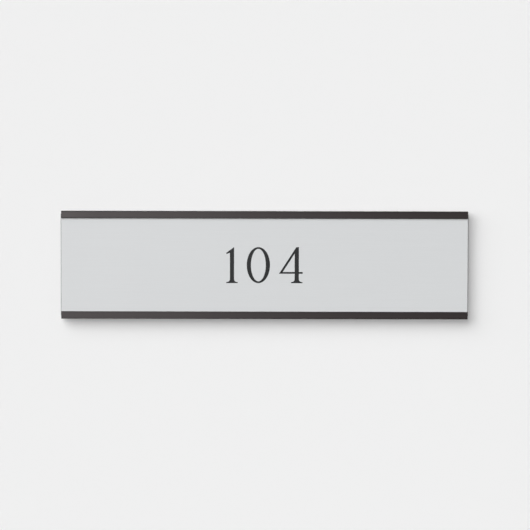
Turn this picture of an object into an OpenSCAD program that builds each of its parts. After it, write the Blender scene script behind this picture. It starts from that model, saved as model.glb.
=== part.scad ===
// Door name plate: an engraved plate that slides into a black extruded holder,
// which two strips of foam tape carry on the wall or door.
// Millimetres. +Z is up, X runs along the plate and the front faces -Y.
// The origin is the middle of the holder's back face, halfway between its screw holes.

/* [Name plate] */
// Length of the slide-in plate
plate_l = 203.2; // [120:0.1:320]
// Height of the slide-in plate
plate_h = 50.8; // [42:0.1:100]
// Thickness of the plate's black core
core_t = 1.5; // [1:0.1:3]
// Thickness of the silver cap on the core
cap_t = 0.1; // [0.05:0.01:0.3]
// How far the bevel along the plate's two ends cuts into the core
core_bevel = 0.2; // [0.05:0.05:0.5]
// How far the plate stands out of the holder at each end
plate_overhang = 0.25; // [0:0.05:2]

/* [Engraved number] */
// Height of the numerals
digit_h = 18; // [10:0.5:26]
// Width of the thick strokes
stroke_thick = 2.1; // [1.2:0.1:3]
// Width of the thin strokes
stroke_thin = 0.9; // [0.5:0.1:1.4]
// Space between two numerals
digit_gap = 4.5; // [2:0.5:10]
// How far the serifs stand out from a stem
serif_reach = 1.8; // [0.8:0.1:3]
// Height of the serifs at their tips
serif_t = 0.6; // [0.3:0.1:1]
// Straight length at a serif's tip, before it curves into the stem
serif_tip = 0.4; // [0.1:0.1:0.6]
// How far the flag of the one drops from the numeral's top
flag_drop = 2.9; // [1:0.1:4]
// Width of the open middle of the zero
zero_counter = 7.4; // [3:0.2:12]
// Width of the open corner of the four, left of its stem
four_counter = 7.8; // [4:0.2:12]
// How far the bar of the four runs past its stem
four_tail = 1.9; // [0.5:0.1:4]
// Height of the underside of the bar of the four
four_bar_z = 4.7; // [3:0.1:6]
// Width of the slanted stroke of the four, measured level
slant_w = 1.3; // [0.8:0.1:1.8]
// Depth of the engraving below the cap
engrave_depth = 0.15; // [0.05:0.05:0.4]

/* [Holder] */
// Thickness of the web behind the plate
web_t = 2; // [1.8:0.1:4]
// Thickness of the top and bottom walls
wall_t = 1.3; // [1:0.1:3]
// Thickness of the lips in front of the plate
lip_t = 0.8; // [0.8:0.1:3]
// How far each lip reaches over the plate
lip_grip = 2.2; // [1:0.1:5]
// Clearance above and below the plate
edge_gap = 0.2; // [0.1:0.05:0.5]
// Clearance in front of and behind the plate
face_gap = 0.1; // [0.05:0.05:0.4]
// Radius of the lips' front edges
lip_r = 0.4; // [0.2:0.05:0.75]
// Radius of the holder's back edges
back_r = 0.3; // [0.1:0.05:0.8]

/* [Screw holes] */
// Distance of each screw hole from the holder's end
screw_inset = 25.15; // [10:0.05:50]
// Diameter of the screw holes
screw_d = 3.2; // [2.5:0.1:4]
// Diameter of the countersinks in the front of the web
sink_d = 5.9; // [5:0.1:6]

/* [Tape] */
// Width of each strip of foam tape
tape_w = 12.7; // [6:0.1:15]
// Thickness of the foam tape
tape_t = 1.6; // [0.5:0.1:3]
// Distance of the tape from the holder's ends
tape_end_margin = 6.35; // [1:0.05:30]
// Distance of the tape from the holder's long edges
tape_edge_margin = 4; // [1:0.1:5]

/* [Hidden] */
// Fineness of the round shapes
$fn = 64;
// How far a cutting shape runs past what it cuts
over = 0.5;
// Steps of the small curves where a serif runs into its stem
bracket_steps = 6;

// The holder's profile
plate_t = core_t + cap_t;
slot_t = plate_t + 2 * face_gap;
slot_h = plate_h + 2 * edge_gap;
holder_l = plate_l - 2 * plate_overhang;
holder_h = slot_h + 2 * wall_t;
holder_d = web_t + slot_t + lip_t;
mouth_h = plate_h - 2 * lip_grip;

// Places along Y, from the holder's back face to the front
plate_back_y = -web_t - face_gap;
core_front_y = plate_back_y - core_t;
face_y = core_front_y - cap_t;

// Half lengths of the plate's bevelled front
core_end_x = plate_l / 2 - core_bevel;
face_end_x = core_end_x - cap_t;

// The countersink is a right-angled cone
sink_depth = (sink_d - screw_d) / 2;
screw_x = holder_l / 2 - screw_inset;

// The tape strips
tape_l = holder_l - 2 * tape_end_margin;
tape_z = holder_h / 2 - tape_edge_margin - tape_w / 2;

// The widths that the numerals take up
one_w = stroke_thick + 2 * serif_reach;
zero_w = zero_counter + 2 * stroke_thick;
four_w = four_counter + stroke_thick + four_tail;
number_w = one_w + zero_w + four_w + 2 * digit_gap;

// The corner of a flat outline that a round edge of radius r takes away,
// with the corner at the origin and the outline in the +X, +Y quarter
module round_off(r) {
    difference() {
        translate([-over, -over]) square(r + over);
        translate([r, r]) circle(r);
    }
}

// The holder's section: X is its depth, with the back at 0, and Y its height
module holder_section() {
    difference() {
        translate([-holder_d, -holder_h / 2]) square([holder_d, holder_h]);
        translate([-web_t - slot_t, -slot_h / 2]) square([slot_t, slot_h]);
        translate([-holder_d - over, -mouth_h / 2]) square([holder_d + over - web_t, mouth_h]);
        for (side = [0, 1]) mirror([0, side]) {
            translate([-holder_d, -holder_h / 2]) round_off(lip_r);
            translate([-holder_d, -mouth_h / 2]) mirror([0, 1]) round_off(lip_r);
            translate([0, -holder_h / 2]) mirror([1, 0]) round_off(back_r);
        }
    }
}

// One screw hole with its countersink, cut from behind the web to the slot
module screw_hole() {
    rotate([90, 0, 0]) {
        translate([0, 0, -over]) cylinder(d = screw_d, h = web_t + 2 * over);
        translate([0, 0, web_t - sink_depth])
            cylinder(r1 = screw_d / 2, r2 = sink_d / 2 + over, h = sink_depth + over);
    }
}

// Points of a round bracket of radius r about a centre
function bracket(centre, r, from, to) =
    [for (i = [0:bracket_steps]) let (a = from + (to - from) * i / bracket_steps)
        centre + r * [cos(a), sin(a)]];

// Outline of an upright stem on a bracketed foot, centred on x. The points of top
// close it above, from the stem's right side over to its left side.
function stem_outline(x, top) =
    let (half = stroke_thick / 2, foot = half + serif_reach, r = serif_reach - serif_tip)
    concat(
        [[x - foot, 0], [x + foot, 0], [x + foot, serif_t]],
        bracket([x + half + r, serif_t + r], r, 270, 180),
        top,
        bracket([x - half - r, serif_t + r], r, 0, -90),
        [[x - foot, serif_t]]
    );

module oval(w, h) {
    polygon([for (i = [0:$fn - 1]) let (a = 360 * i / $fn) [w / 2 * cos(a), h / 2 * sin(a)]]);
}

module numeral_one() {
    // The flag's upper edge runs from its tip over the stem to the top right corner
    left = serif_reach;
    right = left + stroke_thick;
    polygon(stem_outline(one_w / 2, [
        [right, digit_h],
        [0, digit_h - flag_drop],
        [0, digit_h - flag_drop - serif_t],
        [left, digit_h - flag_drop],
    ]));
}

module numeral_zero() {
    translate([zero_w / 2, digit_h / 2]) difference() {
        oval(zero_w, digit_h);
        oval(zero_counter, digit_h - 2 * stroke_thin);
    }
}

module numeral_four() {
    // The slanted stroke runs from the bar's left tip to the stem's top right corner
    right = four_counter + stroke_thick;
    slant_rise = (digit_h - four_bar_z) / (right - slant_w);
    bar_top = four_bar_z + stroke_thin;
    difference() {
        polygon(stem_outline(four_counter + stroke_thick / 2, [
            [right, four_bar_z],
            [four_w, four_bar_z],
            [four_w, bar_top],
            [right, bar_top],
            [right, digit_h],
            [right - slant_w, digit_h],
            [0, four_bar_z],
            [four_counter, four_bar_z],
        ]));
        polygon([
            [slant_w + stroke_thin / slant_rise, bar_top],
            [four_counter, bar_top],
            [four_counter, four_bar_z + (four_counter - slant_w) * slant_rise],
        ]);
    }
}

module number_outline() {
    translate([-number_w / 2, -digit_h / 2]) {
        numeral_one();
        translate([one_w + digit_gap, 0]) numeral_zero();
        translate([one_w + zero_w + 2 * digit_gap, 0]) numeral_four();
    }
}

// What the engraver takes out, through the cap and a little into the core
module engraving() {
    translate([0, core_front_y + engrave_depth, 0]) rotate([90, 0, 0])
        linear_extrude(engrave_depth + cap_t + over) number_outline();
}

// A layer of the plate, whose section in X and Y runs over the plate's whole height
module plate_layer(section) {
    linear_extrude(plate_h, center = true) polygon(section);
}

module name_plate_face() {
    color("silver") difference() {
        plate_layer([
            [-core_end_x, core_front_y],
            [core_end_x, core_front_y],
            [face_end_x, face_y],
            [-face_end_x, face_y],
        ]);
        engraving();
    }
}

module name_plate_core() {
    color("#262626") difference() {
        plate_layer([
            [-plate_l / 2, plate_back_y],
            [plate_l / 2, plate_back_y],
            [plate_l / 2, core_front_y + core_bevel],
            [core_end_x, core_front_y],
            [-core_end_x, core_front_y],
            [-plate_l / 2, core_front_y + core_bevel],
        ]);
        engraving();
    }
}

module holder() {
    color("#2e2b2a") difference() {
        rotate([90, 0, 90]) linear_extrude(holder_l, center = true) holder_section();
        for (x = [-screw_x, screw_x]) translate([x, 0, 0]) screw_hole();
    }
}

module tape_strip(z) {
    color("whitesmoke") translate([-tape_l / 2, 0, z - tape_w / 2]) cube([tape_l, tape_t, tape_w]);
}

module tape_upper() {
    tape_strip(tape_z);
}

module tape_lower() {
    tape_strip(-tape_z);
}

name_plate_face();
name_plate_core();
holder();
tape_upper();
tape_lower();
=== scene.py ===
"""Finishes a door name plate: a silver-faced engraved plate that slides in a black holder on foam tape."""

import math

import bmesh
import bpy
from bpy.props import FloatProperty, FloatVectorProperty, IntProperty, PointerProperty
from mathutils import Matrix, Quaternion, Vector, noise


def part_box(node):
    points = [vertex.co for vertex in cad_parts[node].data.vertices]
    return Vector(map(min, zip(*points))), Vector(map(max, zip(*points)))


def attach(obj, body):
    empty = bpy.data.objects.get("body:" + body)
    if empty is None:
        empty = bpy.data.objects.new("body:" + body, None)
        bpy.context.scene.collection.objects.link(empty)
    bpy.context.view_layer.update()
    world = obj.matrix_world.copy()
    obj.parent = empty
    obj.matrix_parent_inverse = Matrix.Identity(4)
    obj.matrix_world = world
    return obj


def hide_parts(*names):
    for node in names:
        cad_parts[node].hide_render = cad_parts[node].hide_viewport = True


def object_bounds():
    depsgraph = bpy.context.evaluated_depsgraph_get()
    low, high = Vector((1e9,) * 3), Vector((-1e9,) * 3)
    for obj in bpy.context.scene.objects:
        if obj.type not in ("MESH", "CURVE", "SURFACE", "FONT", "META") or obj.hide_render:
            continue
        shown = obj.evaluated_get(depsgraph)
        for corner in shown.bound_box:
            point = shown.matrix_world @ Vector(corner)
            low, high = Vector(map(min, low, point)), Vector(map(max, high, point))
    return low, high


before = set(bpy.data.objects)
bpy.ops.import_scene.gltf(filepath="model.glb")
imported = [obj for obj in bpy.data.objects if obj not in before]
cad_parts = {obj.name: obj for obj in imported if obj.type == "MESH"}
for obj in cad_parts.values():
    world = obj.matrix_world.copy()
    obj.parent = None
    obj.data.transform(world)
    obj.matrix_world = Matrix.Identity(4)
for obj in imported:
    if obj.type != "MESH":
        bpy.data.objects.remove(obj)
CAD_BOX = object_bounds()

bl_info = {
    "name": "Door Name Plate",
    "version": (1, 0, 0),
    "blender": (4, 5, 0),
    "location": "3D View > Sidebar > Name Plate",
    "description": "Finishes a door name plate: holder, engraved plate, foam tape and a plain stage",
    "category": "Object",
}

HOLDER_LOW, HOLDER_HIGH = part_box("holder")
WALL_Y = CAD_BOX[1].y

# Noise seldom leaves this stretch, so it is spread out to run from 0 to 1
NOISE_LOW, NOISE_HIGH = 0.3, 0.7

# How squarely a surface of the holder faces along X where it is a cut end
END_FACING = 0.7
# Relief of the holder's etched grain beside that of its die lines
GRAIN_RELIEF = 0.5
# Part of the die lines in the unevenness of the holder's roughness; the haze has the rest
LINE_PART = 0.3

# Corners closer than this share of a rounding's width are one corner
WELD_SHARE = 0.01
# Faces within this angle of each other are one flat face
FLAT_ANGLE = math.radians(0.5)
# Edges of the holder sharper than this are rounded off
ROUNDED_ANGLE = math.radians(50)
# Steps of a rounding
ROUNDING_STEPS = 2

# Steps of the foam's bulging side
FOAM_STEPS = 8
# How far the foam draws in beside the skins, as a share of its bulge
CREASE = 0.9
# Depth of the creases between the foam's cells, as a share of their size
CELL_CREASE = 0.4
# Waves per metre in the tape's slit edges, long and short, and the strength of the short ones
LONG_WAVES, SHORT_WAVES, SHORT_SHARE = 60, 350, 0.4
# Slice of the noise that the short waves come from, apart from the long ones
SHORT_SLICE = 5.0
# Step between the noise seeds of the two strips, so that no two edges waver alike
SEED_STEP = 10
# Edges of the tape sharper than this stay sharp
TAPE_EDGE_ANGLE = math.radians(40)


# The sizes and colours that a user would change

class HolderFinish(bpy.types.PropertyGroup):
    """Finish of the black anodised holder"""

    colour: FloatVectorProperty(
        name="Colour",
        description="Colour of the dyed anodised skin",
        subtype="COLOR",
        min=0.0,
        max=1.0,
        default=(0.0187, 0.0133, 0.0138),
    )
    roughness: FloatProperty(
        name="Roughness",
        description="Roughness of the etched and anodised skin",
        subtype="FACTOR",
        min=0.0,
        max=1.0,
        default=0.42,
    )
    grain_size: FloatProperty(
        name="Grain Size",
        description="Size of the fine grain of the etched skin",
        unit="LENGTH",
        default=0.0002,
    )
    die_line_length: FloatProperty(
        name="Die Line Length",
        description="Length over which a line from the extrusion die comes and goes",
        unit="LENGTH",
        default=0.12,
    )
    die_line_width: FloatProperty(
        name="Die Line Width",
        description="Width of the lines that the extrusion die leaves along the holder",
        unit="LENGTH",
        default=0.0005,
    )
    die_line_depth: FloatProperty(
        name="Die Line Depth",
        description="Depth of the die lines",
        unit="LENGTH",
        default=0.000003,
    )
    saw_pitch: FloatProperty(
        name="Saw Mark Pitch",
        description="Distance between the marks that the saw leaves on the cut ends",
        unit="LENGTH",
        default=0.0006,
    )
    saw_radius: FloatProperty(
        name="Saw Blade Radius",
        description="Radius of the blade that cut the holder to length",
        unit="LENGTH",
        default=0.15,
    )
    broken_edge: FloatProperty(
        name="Broken Edge",
        description="Width of the rounding that deburring leaves on the sharp edges",
        unit="LENGTH",
        default=0.00006,
    )


class PlateFinish(bpy.types.PropertyGroup):
    """Finish of the two layers of the name plate"""

    cap_colour: FloatVectorProperty(
        name="Cap Colour",
        description="Colour of the satin silver cap",
        subtype="COLOR",
        min=0.0,
        max=1.0,
        default=(0.651, 0.664, 0.672),
    )
    cap_roughness: FloatProperty(
        name="Cap Roughness",
        description="Roughness of the satin cap",
        subtype="FACTOR",
        min=0.0,
        max=1.0,
        default=0.5,
    )
    brush_length: FloatProperty(
        name="Brush Line Length",
        description="Length over which a line of the cap's brushed finish comes and goes",
        unit="LENGTH",
        default=0.03,
    )
    brush_width: FloatProperty(
        name="Brush Line Width",
        description="Width of the fine lines of the cap's brushed finish",
        unit="LENGTH",
        default=0.00025,
    )
    brush_depth: FloatProperty(
        name="Brush Line Depth",
        description="Depth of the lines of the cap's brushed finish",
        unit="LENGTH",
        default=0.000001,
    )
    core_colour: FloatVectorProperty(
        name="Core Colour",
        description="Colour of the black core, in the engraving and on the plate's edges and back",
        subtype="COLOR",
        min=0.0,
        max=1.0,
        default=(0.0195, 0.0205, 0.0215),
    )
    core_roughness: FloatProperty(
        name="Core Roughness",
        description="Roughness of the matte core",
        subtype="FACTOR",
        min=0.0,
        max=1.0,
        default=0.55,
    )
    core_grain: FloatProperty(
        name="Core Grain",
        description="Size of the fine grain of the cut and moulded core",
        unit="LENGTH",
        default=0.00018,
    )
    core_grain_depth: FloatProperty(
        name="Core Grain Depth",
        description="Depth of the core's grain",
        unit="LENGTH",
        default=0.000004,
    )


class TapeFinish(bpy.types.PropertyGroup):
    """Shape and finish of the foam tape"""

    foam_colour: FloatVectorProperty(
        name="Foam Colour",
        description="Colour of the foam",
        subtype="COLOR",
        min=0.0,
        max=1.0,
        default=(0.8, 0.8, 0.78),
    )
    foam_roughness: FloatProperty(
        name="Foam Roughness",
        description="Roughness of the foam",
        subtype="FACTOR",
        min=0.0,
        max=1.0,
        default=0.85,
    )
    cell_size: FloatProperty(
        name="Cell Size",
        description="Size of the foam's cells",
        unit="LENGTH",
        default=0.0003,
    )
    glue_colour: FloatVectorProperty(
        name="Glue Colour",
        description="Colour of the tape's sticky skins",
        subtype="COLOR",
        min=0.0,
        max=1.0,
        default=(0.74, 0.73, 0.68),
    )
    glue_roughness: FloatProperty(
        name="Glue Roughness",
        description="Roughness of the tape's sticky skins",
        subtype="FACTOR",
        min=0.0,
        max=1.0,
        default=0.365,
    )
    ripple_length: FloatProperty(
        name="Ripple Length",
        description="Length of the ripples that the liner leaves in the glue",
        unit="LENGTH",
        default=0.004,
    )
    ripple_width: FloatProperty(
        name="Ripple Width",
        description="Width of the ripples in the glue",
        unit="LENGTH",
        default=0.0006,
    )
    ripple_depth: FloatProperty(
        name="Ripple Depth",
        description="Depth of the ripples in the glue",
        unit="LENGTH",
        default=0.00001,
    )
    skin: FloatProperty(
        name="Skin Thickness",
        description="Thickness of each sticky skin",
        unit="LENGTH",
        default=0.0001,
    )
    bulge: FloatProperty(
        name="Bulge",
        description="How far the squeezed foam stands out past the skins",
        unit="LENGTH",
        default=0.0002,
    )
    waver: FloatProperty(
        name="Edge Waver",
        description="How far the slit edges waver along the strip",
        unit="LENGTH",
        default=0.00015,
    )
    end_slant: FloatProperty(
        name="End Slant",
        description="How far a hand-cut end runs out of square",
        unit="LENGTH",
        default=0.0006,
    )
    stations: IntProperty(
        name="Stations",
        description="Number of stretches that a strip is divided into along its length",
        min=8,
        default=120,
    )


class StageLook(bpy.types.PropertyGroup):
    """The wall, the camera and the light"""

    wall_colour: FloatVectorProperty(
        name="Wall Colour",
        description="Colour of the plain pale wall",
        subtype="COLOR",
        min=0.0,
        max=1.0,
        default=(0.87, 0.87, 0.87),
    )
    wall_size: FloatProperty(
        name="Wall Size",
        description="Side of the square of wall behind the plate",
        unit="LENGTH",
        default=8.0,
    )
    camera_distance: FloatProperty(
        name="Camera Distance",
        description="Distance of the camera from the holder's front",
        unit="LENGTH",
        default=1.0,
    )
    view_width: FloatProperty(
        name="View Width",
        description="Width of the picture at the holder's front",
        unit="LENGTH",
        default=0.2641,
    )
    view_elevation: FloatProperty(
        name="View Elevation",
        description="Angle from which the camera looks down on the plate",
        subtype="ANGLE",
        default=math.radians(2.3),
    )
    view_roll: FloatProperty(
        name="View Roll",
        description="Clockwise turn of the plate in the picture",
        subtype="ANGLE",
        default=math.radians(0.118),
    )
    aim: FloatVectorProperty(
        name="Aim",
        description="Point at the middle of the picture, from the middle of the holder's front",
        subtype="TRANSLATION",
        unit="LENGTH",
        default=(0.00025, 0.0, 0.0001),
    )
    room_share: FloatProperty(
        name="Room Light",
        description="Share of the light that comes evenly from all around",
        subtype="FACTOR",
        min=0.0,
        max=1.0,
        default=0.06,
    )
    room_gloss: FloatProperty(
        name="Room Gloss",
        description="Brightness of the room as glossy surfaces mirror it",
        subtype="FACTOR",
        min=0.0,
        max=1.0,
        default=0.25,
    )
    fill_share: FloatProperty(
        name="Front Fill",
        description="Share of the light that comes straight from the front",
        subtype="FACTOR",
        min=0.0,
        max=1.0,
        default=0.32,
    )
    upper_share: FloatProperty(
        name="Upper Light",
        description="Share of the broad light from above and to the left",
        subtype="FACTOR",
        min=0.0,
        max=1.0,
        default=0.475,
    )
    raking_share: FloatProperty(
        name="Raking Light",
        description="Share of the light that rakes in from further to the left",
        subtype="FACTOR",
        min=0.0,
        max=1.0,
        default=0.145,
    )
    back_share: FloatProperty(
        name="Back Light",
        description="Strength of the light on the holder's back, beside the front's whole light as 1",
        subtype="FACTOR",
        min=0.0,
        max=1.0,
        default=0.55,
    )
    back_fill_share: FloatProperty(
        name="Back Fill",
        description="Strength of the second light on the back, from the other side and from below",
        subtype="FACTOR",
        min=0.0,
        max=1.0,
        default=0.3,
    )
    panel_power: FloatProperty(
        name="Panel Power",
        description="Power of the panel whose sheen the black rails show",
        unit="POWER",
        default=2.15,
    )
    panel_size: FloatProperty(
        name="Panel Size",
        description="Side of the square panel",
        unit="LENGTH",
        default=0.2,
    )
    panel_place: FloatVectorProperty(
        name="Panel Place",
        description="Where the panel stands, from the middle of the holder's back",
        subtype="TRANSLATION",
        unit="LENGTH",
        default=(-0.236, -0.869, 0.053),
    )
    panel_colour: FloatVectorProperty(
        name="Panel Colour",
        description="Colour of the panel's light",
        subtype="COLOR",
        min=0.0,
        max=1.0,
        default=(1.0, 0.955, 0.96),
    )


# Shared steps for materials

def empty_tree(owner):
    """The node tree of a material or a world, with nothing in it."""
    owner.use_nodes = True
    owner.node_tree.nodes.clear()
    return owner.node_tree


def maths(tree, operation, first, second=None):
    """A Math node; each operand is a socket or a number."""
    node = tree.nodes.new("ShaderNodeMath")
    node.operation = operation
    for socket, value in zip(node.inputs, (first, second)):
        if isinstance(value, bpy.types.NodeSocket):
            tree.links.new(value, socket)
        elif value is not None:
            socket.default_value = value
    return node.outputs["Value"]


def between(tree, value, start, end):
    """Maps a value to the stretch from start, where it is 0 or less, to end, where it is 1 or more."""
    node = tree.nodes.new("ShaderNodeMapRange")
    tree.links.new(value, node.inputs["Value"])
    node.inputs["To Min"].default_value = start
    node.inputs["To Max"].default_value = end
    return node.outputs["Result"]


def effect(name, sizes, output):
    """An empty shader node group with lengths as inputs and one value as output."""
    group = bpy.data.node_groups.new(name, "ShaderNodeTree")
    for label in sizes:
        group.interface.new_socket(label, in_out="INPUT", socket_type="NodeSocketFloat")
    group.interface.new_socket(output, in_out="OUTPUT", socket_type="NodeSocketFloat")
    inward = group.nodes.new("NodeGroupInput")
    outward = group.nodes.new("NodeGroupOutput")
    return group, inward, outward


def noise_in_steps(group, steps, detail):
    """Noise whose size along each axis is the given step, drawn on the piece itself."""
    place = group.nodes.new("ShaderNodeTexCoord")
    spread = group.nodes.new("ShaderNodeCombineXYZ")
    for socket, step in zip(spread.inputs, steps):
        group.links.new(step, socket)
    divide = group.nodes.new("ShaderNodeVectorMath")
    divide.operation = "DIVIDE"
    group.links.new(place.outputs["Object"], divide.inputs[0])
    group.links.new(spread.outputs["Vector"], divide.inputs[1])
    texture = group.nodes.new("ShaderNodeTexNoise")
    texture.inputs["Scale"].default_value = 1.0
    texture.inputs["Detail"].default_value = detail
    group.links.new(divide.outputs["Vector"], texture.inputs["Vector"])
    stretch = group.nodes.new("ShaderNodeMapRange")
    stretch.inputs["From Min"].default_value = NOISE_LOW
    stretch.inputs["From Max"].default_value = NOISE_HIGH
    group.links.new(texture.outputs["Fac"], stretch.inputs["Value"])
    return stretch.outputs["Result"]


def lengthwise_lines():
    """Lines along X, as a die or a brush leaves them."""
    group, inward, outward = effect("Lengthwise Lines", ("Line Length", "Line Width"), "Lines")
    length, width = inward.outputs["Line Length"], inward.outputs["Line Width"]
    lines = noise_in_steps(group, (length, width, width), detail=3.0)
    group.links.new(lines, outward.inputs["Lines"])
    return group


def fine_grain():
    """An even grain, as of etched metal, moulded plastic or foam."""
    group, inward, outward = effect("Fine Grain", ("Grain Size",), "Grain")
    size = inward.outputs["Grain Size"]
    grain = noise_in_steps(group, (size, size, size), detail=2.0)
    group.links.new(grain, outward.inputs["Grain"])
    return group


def soft_haze():
    """Wide soft patches, as handling and wiping leave them."""
    group, inward, outward = effect("Soft Haze", ("Patch Size",), "Haze")
    size = inward.outputs["Patch Size"]
    haze = noise_in_steps(group, (size, size, size), detail=1.0)
    group.links.new(haze, outward.inputs["Haze"])
    return group


EFFECTS = {"Lengthwise Lines": lengthwise_lines, "Fine Grain": fine_grain, "Soft Haze": soft_haze}


def use_effect(tree, name, **sizes):
    """Places a shared effect, built the first time it is asked for, and gives its output.
    A size such as line_width goes to the effect's input Line Width."""
    node = tree.nodes.new("ShaderNodeGroup")
    node.node_tree = bpy.data.node_groups.get(name) or EFFECTS[name]()
    for label, value in sizes.items():
        node.inputs[label.replace("_", " ").title()].default_value = value
    return node.outputs[0]


def new_finish(name, roughness, specular):
    """A material with a Principled shader at a plain roughness and shine."""
    material = bpy.data.materials.new(name)
    tree = empty_tree(material)
    shader = tree.nodes.new("ShaderNodeBsdfPrincipled")
    shader.inputs["Roughness"].default_value = roughness
    shader.inputs["Specular IOR Level"].default_value = specular
    output = tree.nodes.new("ShaderNodeOutputMaterial")
    tree.links.new(shader.outputs["BSDF"], output.inputs["Surface"])
    return material, tree, shader


def vary_colour(tree, shader, colour, value, start, end):
    """Lets the shader's colour run from start to end times a colour, as a value goes from 0 to 1."""
    mix = tree.nodes.new("ShaderNodeMix")
    mix.data_type = "RGBA"
    tree.links.new(value, mix.inputs["Factor"])
    for name, level in (("A", start), ("B", end)):
        mix.inputs[name].default_value = [*(part * level for part in colour), 1.0]
    tree.links.new(mix.outputs["Result"], shader.inputs["Base Color"])


def vary_roughness(tree, shader, value, spread):
    """Lets the shader's roughness stray by a spread to either side, as a value goes from 0 to 1."""
    rough = shader.inputs["Roughness"]
    middle = rough.default_value
    tree.links.new(between(tree, value, middle - spread, middle + spread), rough)


def raise_surface(tree, shader, height, depth):
    """Bumps the surface by a height from 0 to 1 times a depth."""
    bump = tree.nodes.new("ShaderNodeBump")
    bump.inputs["Distance"].default_value = depth
    tree.links.new(height, bump.inputs["Height"])
    tree.links.new(bump.outputs["Normal"], shader.inputs["Normal"])


def mix_shaders(tree, share, first, second):
    """The first shader where the share is 0 and the second where it is 1."""
    mix = tree.nodes.new("ShaderNodeMixShader")
    for socket, source in zip(mix.inputs, (share, first, second)):
        tree.links.new(source, socket)
    return mix.outputs["Shader"]


# Shared steps for objects

def dress(node, material):
    """Gives a CAD node its finish."""
    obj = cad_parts[node]
    if not obj.material_slots:
        raise RuntimeError(f"{node} has no material slot")
    for slot in obj.material_slots:
        slot.material = material


def deburr(node, width):
    """Rounds off a CAD node's sharp edges with modifiers, so its own mesh stays as it is."""
    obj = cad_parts[node]
    join = obj.modifiers.new("Join Faces", "WELD")
    join.merge_threshold = width * WELD_SHARE
    flats = obj.modifiers.new("Clear Flats", "DECIMATE")
    flats.decimate_type = "DISSOLVE"
    flats.angle_limit = FLAT_ANGLE
    edges = obj.modifiers.new("Broken Edges", "BEVEL")
    edges.width = width
    edges.segments = ROUNDING_STEPS
    edges.limit_method = "ANGLE"
    edges.angle_limit = ROUNDED_ANGLE
    edges.use_clamp_overlap = False
    edges.harden_normals = True


def add_object(context, name, data):
    """A new object in the scene, made from a mesh, a lamp or a camera."""
    obj = bpy.data.objects.new(name, data)
    context.scene.collection.objects.link(obj)
    return obj


def looking(direction):
    """The turn of a camera or a lamp that looks in a direction."""
    return direction.to_track_quat("-Z", "Y")


# Holder

def on_cut_end(tree, place):
    """1 on the holder's cut ends and 0 elsewhere."""
    facing = tree.nodes.new("ShaderNodeSeparateXYZ")
    tree.links.new(place.outputs["Normal"], facing.inputs["Vector"])
    return maths(tree, "GREATER_THAN", maths(tree, "ABSOLUTE", facing.outputs["X"]), END_FACING)


def saw_marks(tree, place, look):
    """The ridges that a saw blade leaves round its axle, from 0 on the flats between them to 1."""
    where = tree.nodes.new("ShaderNodeSeparateXYZ")
    tree.links.new(place.outputs["Object"], where.inputs["Vector"])
    across = maths(tree, "ADD", where.outputs["Y"], look.saw_radius)
    squares = [maths(tree, "POWER", side, 2.0) for side in (across, where.outputs["Z"])]
    from_axle = maths(tree, "SQRT", maths(tree, "ADD", *squares))
    turns = maths(tree, "MULTIPLY", from_axle, 2 * math.pi / look.saw_pitch)
    return between(tree, maths(tree, "SINE", turns), start=0.0, end=1.0)


def black_anodised(look):
    """Satin black aluminium: die lines along it, a fine etched grain, and saw marks on the cut ends."""
    material, tree, shader = new_finish("Black Anodised", look.roughness, specular=0.5)
    place = tree.nodes.new("ShaderNodeTexCoord")
    lines = use_effect(
        tree, "Lengthwise Lines", line_length=look.die_line_length, line_width=look.die_line_width)
    grain = use_effect(tree, "Fine Grain", grain_size=look.grain_size)
    haze = use_effect(tree, "Soft Haze", patch_size=0.03)

    pattern = tree.nodes.new("ShaderNodeMix")
    tree.links.new(on_cut_end(tree, place), pattern.inputs["Factor"])
    tree.links.new(lines, pattern.inputs["A"])
    tree.links.new(saw_marks(tree, place, look), pattern.inputs["B"])
    relief = maths(tree, "ADD", pattern.outputs["Result"], maths(tree, "MULTIPLY", grain, GRAIN_RELIEF))
    from_lines = maths(tree, "MULTIPLY", lines, LINE_PART)
    from_haze = maths(tree, "MULTIPLY", haze, 1 - LINE_PART)

    vary_colour(tree, shader, look.colour, lines, start=0.85, end=1.15)
    vary_roughness(tree, shader, maths(tree, "ADD", from_lines, from_haze), spread=0.02)
    raise_surface(tree, shader, relief, look.die_line_depth)
    return material


class NAMEPLATE_OT_holder(bpy.types.Operator):
    """Finish the black extruded holder"""

    bl_idname = "nameplate.holder"
    bl_label = "Finish Holder"

    def execute(self, context):
        look = context.scene.nameplate_holder
        dress("holder", black_anodised(look))
        deburr("holder", look.broken_edge)
        return {"FINISHED"}


# Name plate

def satin_silver(look):
    """The plate's silver cap: satin, with brush lines too fine to tell apart from a step away."""
    material, tree, shader = new_finish("Satin Silver", look.cap_roughness, specular=0.4)
    lines = use_effect(
        tree, "Lengthwise Lines", line_length=look.brush_length, line_width=look.brush_width)
    haze = use_effect(tree, "Soft Haze", patch_size=0.05)
    vary_colour(tree, shader, look.cap_colour, lines, start=0.988, end=1.012)
    vary_roughness(tree, shader, haze, spread=0.03)
    raise_surface(tree, shader, lines, look.brush_depth)
    return material


def black_core(look):
    """The plate's black core: matte, with the fine grain of cut and moulded plastic."""
    material, tree, shader = new_finish("Black Core", look.core_roughness, specular=0.3)
    grain = use_effect(tree, "Fine Grain", grain_size=look.core_grain)
    haze = use_effect(tree, "Soft Haze", patch_size=0.02)
    vary_colour(tree, shader, look.core_colour, grain, start=0.85, end=1.15)
    vary_roughness(tree, shader, haze, spread=0.05)
    raise_surface(tree, shader, grain, look.core_grain_depth)
    return material


class NAMEPLATE_OT_plate(bpy.types.Operator):
    """Finish both layers of the engraved name plate"""

    bl_idname = "nameplate.plate"
    bl_label = "Finish Name Plate"

    def execute(self, context):
        look = context.scene.nameplate_plate
        dress("name_plate_face", satin_silver(look))
        dress("name_plate_core", black_core(look))
        return {"FINISHED"}


# Tape

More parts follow.
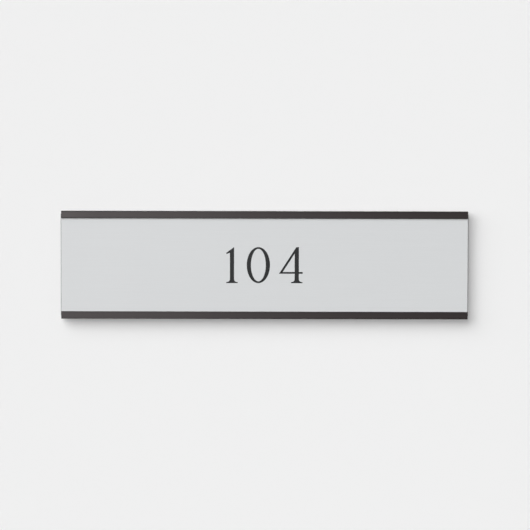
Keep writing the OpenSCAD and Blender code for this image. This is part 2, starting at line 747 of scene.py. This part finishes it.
def closed_cell_foam(look):
    """White foam, with its cells as small bumps and painted shade darkening the creases between them."""
    material, tree, shader = new_finish("Closed Cell Foam", look.foam_roughness, specular=0.25)
    place = tree.nodes.new("ShaderNodeTexCoord")
    cells = tree.nodes.new("ShaderNodeTexVoronoi")
    cells.inputs["Scale"].default_value = 1.0 / look.cell_size
    tree.links.new(place.outputs["Object"], cells.inputs["Vector"])
    from_middle = cells.outputs["Distance"]
    grain = use_effect(tree, "Fine Grain", grain_size=look.cell_size)
    # Painted shade: the colour darkens from each cell's middle towards the crease at its rim
    vary_colour(tree, shader, look.foam_colour, from_middle, start=1.04, end=0.86)
    vary_roughness(tree, shader, grain, spread=0.1)
    raise_surface(tree, shader, from_middle, -CELL_CREASE * look.cell_size)
    return material


def sticky_skin(look):
    """The tape's glue: creamy and a little shiny, with the fine ripples that the liner left in it."""
    material, tree, shader = new_finish("Sticky Skin", look.glue_roughness, specular=0.5)
    lines = use_effect(
        tree, "Lengthwise Lines", line_length=look.ripple_length, line_width=look.ripple_width)
    haze = use_effect(tree, "Soft Haze", patch_size=0.012)
    vary_colour(tree, shader, look.glue_colour, haze, start=0.985, end=1.015)
    vary_roughness(tree, shader, lines, spread=0.085)
    raise_surface(tree, shader, lines, look.ripple_depth)
    return material


def side_profile(look, thickness):
    """Depth and inset of the points of one side of the tape, from the holder's face to the wall's."""
    foam = thickness - 2 * look.skin
    points = [(0.0, look.bulge), (look.skin, look.bulge)]
    for step in range(FOAM_STEPS + 1):
        share = step / FOAM_STEPS
        inset = look.bulge * (CREASE - CREASE * math.sin(math.pi * share))
        points.append((look.skin + foam * share, inset))
    return points + [(thickness - look.skin, look.bulge), (thickness, look.bulge)]


def edge_waver(look, x, seed):
    """How far the slit edge stands back at x."""
    long_wave = noise.noise(Vector((x * LONG_WAVES, seed, 0.0)))
    short_wave = noise.noise(Vector((x * SHORT_WAVES, seed, SHORT_SLICE)))
    wave = long_wave + SHORT_SHARE * short_wave
    return look.waver * (0.5 + 0.5 * max(-1.0, min(1.0, wave)))


def tape_ring(look, low, high, share, seed):
    """The cross-section of a strip at a share of its length, as points in order round it."""
    middle_z = (low.z + high.z) / 2
    half_w = (high.z - low.z) / 2
    profile = side_profile(look, high.y - low.y)
    ring = []
    for side, points in ((1, profile), (-1, profile[::-1])):
        for depth, inset in points:
            x = low.x + (high.x - low.x) * share
            z = middle_z + side * (half_w - inset - edge_waver(look, x, seed + side))
            lean = look.end_slant * (0.5 + 0.5 * (z - middle_z) / half_w)
            x += lean * (1 - share) - (look.end_slant - lean) * share
            ring.append(Vector((x, low.y + depth, z)))
    return ring


def strip_mesh(look, node, seed):
    """One strip of foam tape, lofted through its cross-sections."""
    low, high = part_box(node)
    strip = bmesh.new()
    rings = []
    for station in range(look.stations + 1):
        ring = tape_ring(look, low, high, station / look.stations, seed)
        rings.append([strip.verts.new(point) for point in ring])
    count = len(rings[0])
    half = count // 2
    # A ring's faces that are skin: those against the holder and the wall, and the skins' thin edges
    skins = {0, half - 2, half - 1, half, count - 2, count - 1}
    for here, there in zip(rings, rings[1:]):
        for k in range(count):
            after = (k + 1) % count
            face = strip.faces.new((here[k], there[k], there[after], here[after]))
            face.smooth = True
            face.material_index = 1 if k in skins else 0
    strip.faces.new(rings[0])
    strip.faces.new(rings[-1][::-1])
    bmesh.ops.recalc_face_normals(strip, faces=strip.faces)
    mesh = bpy.data.meshes.new(f"{node}_foam")
    strip.to_mesh(mesh)
    strip.free()
    mesh.set_sharp_from_angle(angle=TAPE_EDGE_ANGLE)
    return mesh


class NAMEPLATE_OT_tape(bpy.types.Operator):
    """Build the two strips of foam tape behind the holder"""

    bl_idname = "nameplate.tape"
    bl_label = "Build Foam Tape"

    def execute(self, context):
        look = context.scene.nameplate_tape
        materials = closed_cell_foam(look), sticky_skin(look)
        for number, node in enumerate(("tape_upper", "tape_lower")):
            mesh = strip_mesh(look, node, SEED_STEP * number)
            for material in materials:
                mesh.materials.append(material)
            strip = add_object(context, mesh.name, mesh)
            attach(strip, "holder")
            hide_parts(node)
        return {"FINISHED"}


# Stage

def wall_paint(look):
    """Plain matte paint, which isn't seen from behind."""
    material = bpy.data.materials.new("Wall Paint")
    tree = empty_tree(material)
    paint = tree.nodes.new("ShaderNodeBsdfDiffuse")
    paint.inputs["Color"].default_value = (*look.wall_colour, 1.0)
    clear = tree.nodes.new("ShaderNodeBsdfTransparent")
    side = tree.nodes.new("ShaderNodeNewGeometry")
    seen = mix_shaders(tree, side.outputs["Backfacing"], paint.outputs["BSDF"], clear.outputs["BSDF"])
    output = tree.nodes.new("ShaderNodeOutputMaterial")
    tree.links.new(seen, output.inputs["Surface"])
    return material


def add_wall(context, look):
    """The wall behind the tape, facing the viewer."""
    half = look.wall_size / 2
    corners = [(x, WALL_Y, z) for x, z in ((-half, -half), (half, -half), (half, half), (-half, half))]
    mesh = bpy.data.meshes.new("wall")
    mesh.from_pydata(corners, [], [(0, 1, 2, 3)])
    mesh.materials.append(wall_paint(look))
    wall = add_object(context, "wall", mesh)
    wall.visible_shadow = False
    wall.visible_diffuse = False


def add_camera(context, look):
    """The camera, in front of the plate and a little above it."""
    camera = bpy.data.cameras.new("camera")
    camera.lens = camera.sensor_width * look.camera_distance / look.view_width
    front = (HOLDER_LOW + HOLDER_HIGH) / 2
    front.y = HOLDER_LOW.y
    back = Vector((0.0, -math.cos(look.view_elevation), math.sin(look.view_elevation)))
    obj = add_object(context, "camera", camera)
    obj.location = front + Vector(look.aim) + back * look.camera_distance
    obj.rotation_euler = (Quaternion(back, look.view_roll) @ looking(-back)).to_euler()
    context.scene.camera = obj


def add_sun(context, name, share, left, up, spread, behind=False):
    """A soft far light: left and up are its slopes, spread is its width in degrees, and share is the light
    that it throws on the wall's plane. Reflections show only the lights behind the wall."""
    lamp = bpy.data.lights.new(name, "SUN")
    lamp.angle = math.radians(spread)
    lamp.energy = math.pi * share * math.sqrt(1 + left ** 2 + up ** 2)
    obj = add_object(context, name, lamp)
    obj.rotation_euler = looking(Vector((left, -1.0 if behind else 1.0, -up))).to_euler()
    obj.visible_glossy = behind


def add_panel(context, look):
    """A panel to the front left that only glossy surfaces show."""
    lamp = bpy.data.lights.new("sheen panel", "AREA")
    lamp.size = look.panel_size
    lamp.energy = look.panel_power
    lamp.color = look.panel_colour
    obj = add_object(context, "sheen panel", lamp)
    obj.location = look.panel_place
    obj.rotation_euler = looking(-obj.location).to_euler()
    obj.visible_diffuse = False
    obj.visible_camera = False


def add_room(context, look):
    """A pale room: as bright as the wall to the camera, dimmer as a light and in reflections."""
    world = bpy.data.worlds.new("room")
    tree = empty_tree(world)
    path = tree.nodes.new("ShaderNodeLightPath")
    seen = tree.nodes.new("ShaderNodeBackground")
    seen.inputs["Color"].default_value = (*look.wall_colour, 1.0)
    light = tree.nodes.new("ShaderNodeBackground")
    light.inputs["Color"].default_value = (1.0, 1.0, 1.0, 1.0)
    gloss = maths(tree, "MULTIPLY", path.outputs["Is Glossy Ray"], look.room_gloss - look.room_share)
    tree.links.new(maths(tree, "ADD", gloss, look.room_share), light.inputs["Strength"])
    room = mix_shaders(
        tree, path.outputs["Is Camera Ray"], light.outputs["Background"], seen.outputs["Background"])
    output = tree.nodes.new("ShaderNodeOutputWorld")
    tree.links.new(room, output.inputs["Surface"])
    context.scene.world = world


class NAMEPLATE_OT_stage(bpy.types.Operator):
    """Set up the wall, the camera and the light"""

    bl_idname = "nameplate.stage"
    bl_label = "Set Up Stage"

    def execute(self, context):
        look = context.scene.nameplate_stage
        context.scene.view_settings.view_transform = "Standard"
        add_camera(context, look)
        add_wall(context, look)
        add_room(context, look)
        add_sun(context, "front fill", look.fill_share, left=0.0, up=0.0, spread=8)
        add_sun(context, "upper light", look.upper_share, left=0.52, up=0.7, spread=56)
        add_sun(context, "raking light", look.raking_share, left=1.68, up=0.64, spread=48)
        add_sun(context, "back light", look.back_share, left=0.5, up=0.6, spread=50, behind=True)
        add_sun(context, "back fill", look.back_fill_share, left=-0.4, up=-0.2, spread=60, behind=True)
        add_panel(context, look)
        return {"FINISHED"}


# Sidebar and registration

class NAMEPLATE_PT_sidebar(bpy.types.Panel):
    """Steps and settings of the door name plate"""

    bl_idname = "NAMEPLATE_PT_sidebar"
    bl_label = "Door Name Plate"
    bl_space_type = "VIEW_3D"
    bl_region_type = "UI"
    bl_category = "Name Plate"

    def draw(self, context):
        for operator, (group, settings) in zip(OPERATORS, SETTINGS.items()):
            box = self.layout.box()
            box.operator(operator.bl_idname)
            for name in settings.__annotations__:
                box.prop(getattr(context.scene, group), name)


OPERATORS = (NAMEPLATE_OT_stage, NAMEPLATE_OT_holder, NAMEPLATE_OT_plate, NAMEPLATE_OT_tape)
SETTINGS = {
    "nameplate_stage": StageLook,
    "nameplate_holder": HolderFinish,
    "nameplate_plate": PlateFinish,
    "nameplate_tape": TapeFinish,
}
CLASSES = (*SETTINGS.values(), *OPERATORS, NAMEPLATE_PT_sidebar)


def register():
    for cls in CLASSES:
        bpy.utils.register_class(cls)
    for name, group in SETTINGS.items():
        setattr(bpy.types.Scene, name, PointerProperty(type=group))


def unregister():
    for name in SETTINGS:
        delattr(bpy.types.Scene, name)
    for cls in reversed(CLASSES):
        bpy.utils.unregister_class(cls)


def main():
    register()
    bpy.ops.nameplate.stage()
    bpy.ops.nameplate.holder()
    bpy.ops.nameplate.plate()
    bpy.ops.nameplate.tape()


if __name__ == "__main__":
    main()
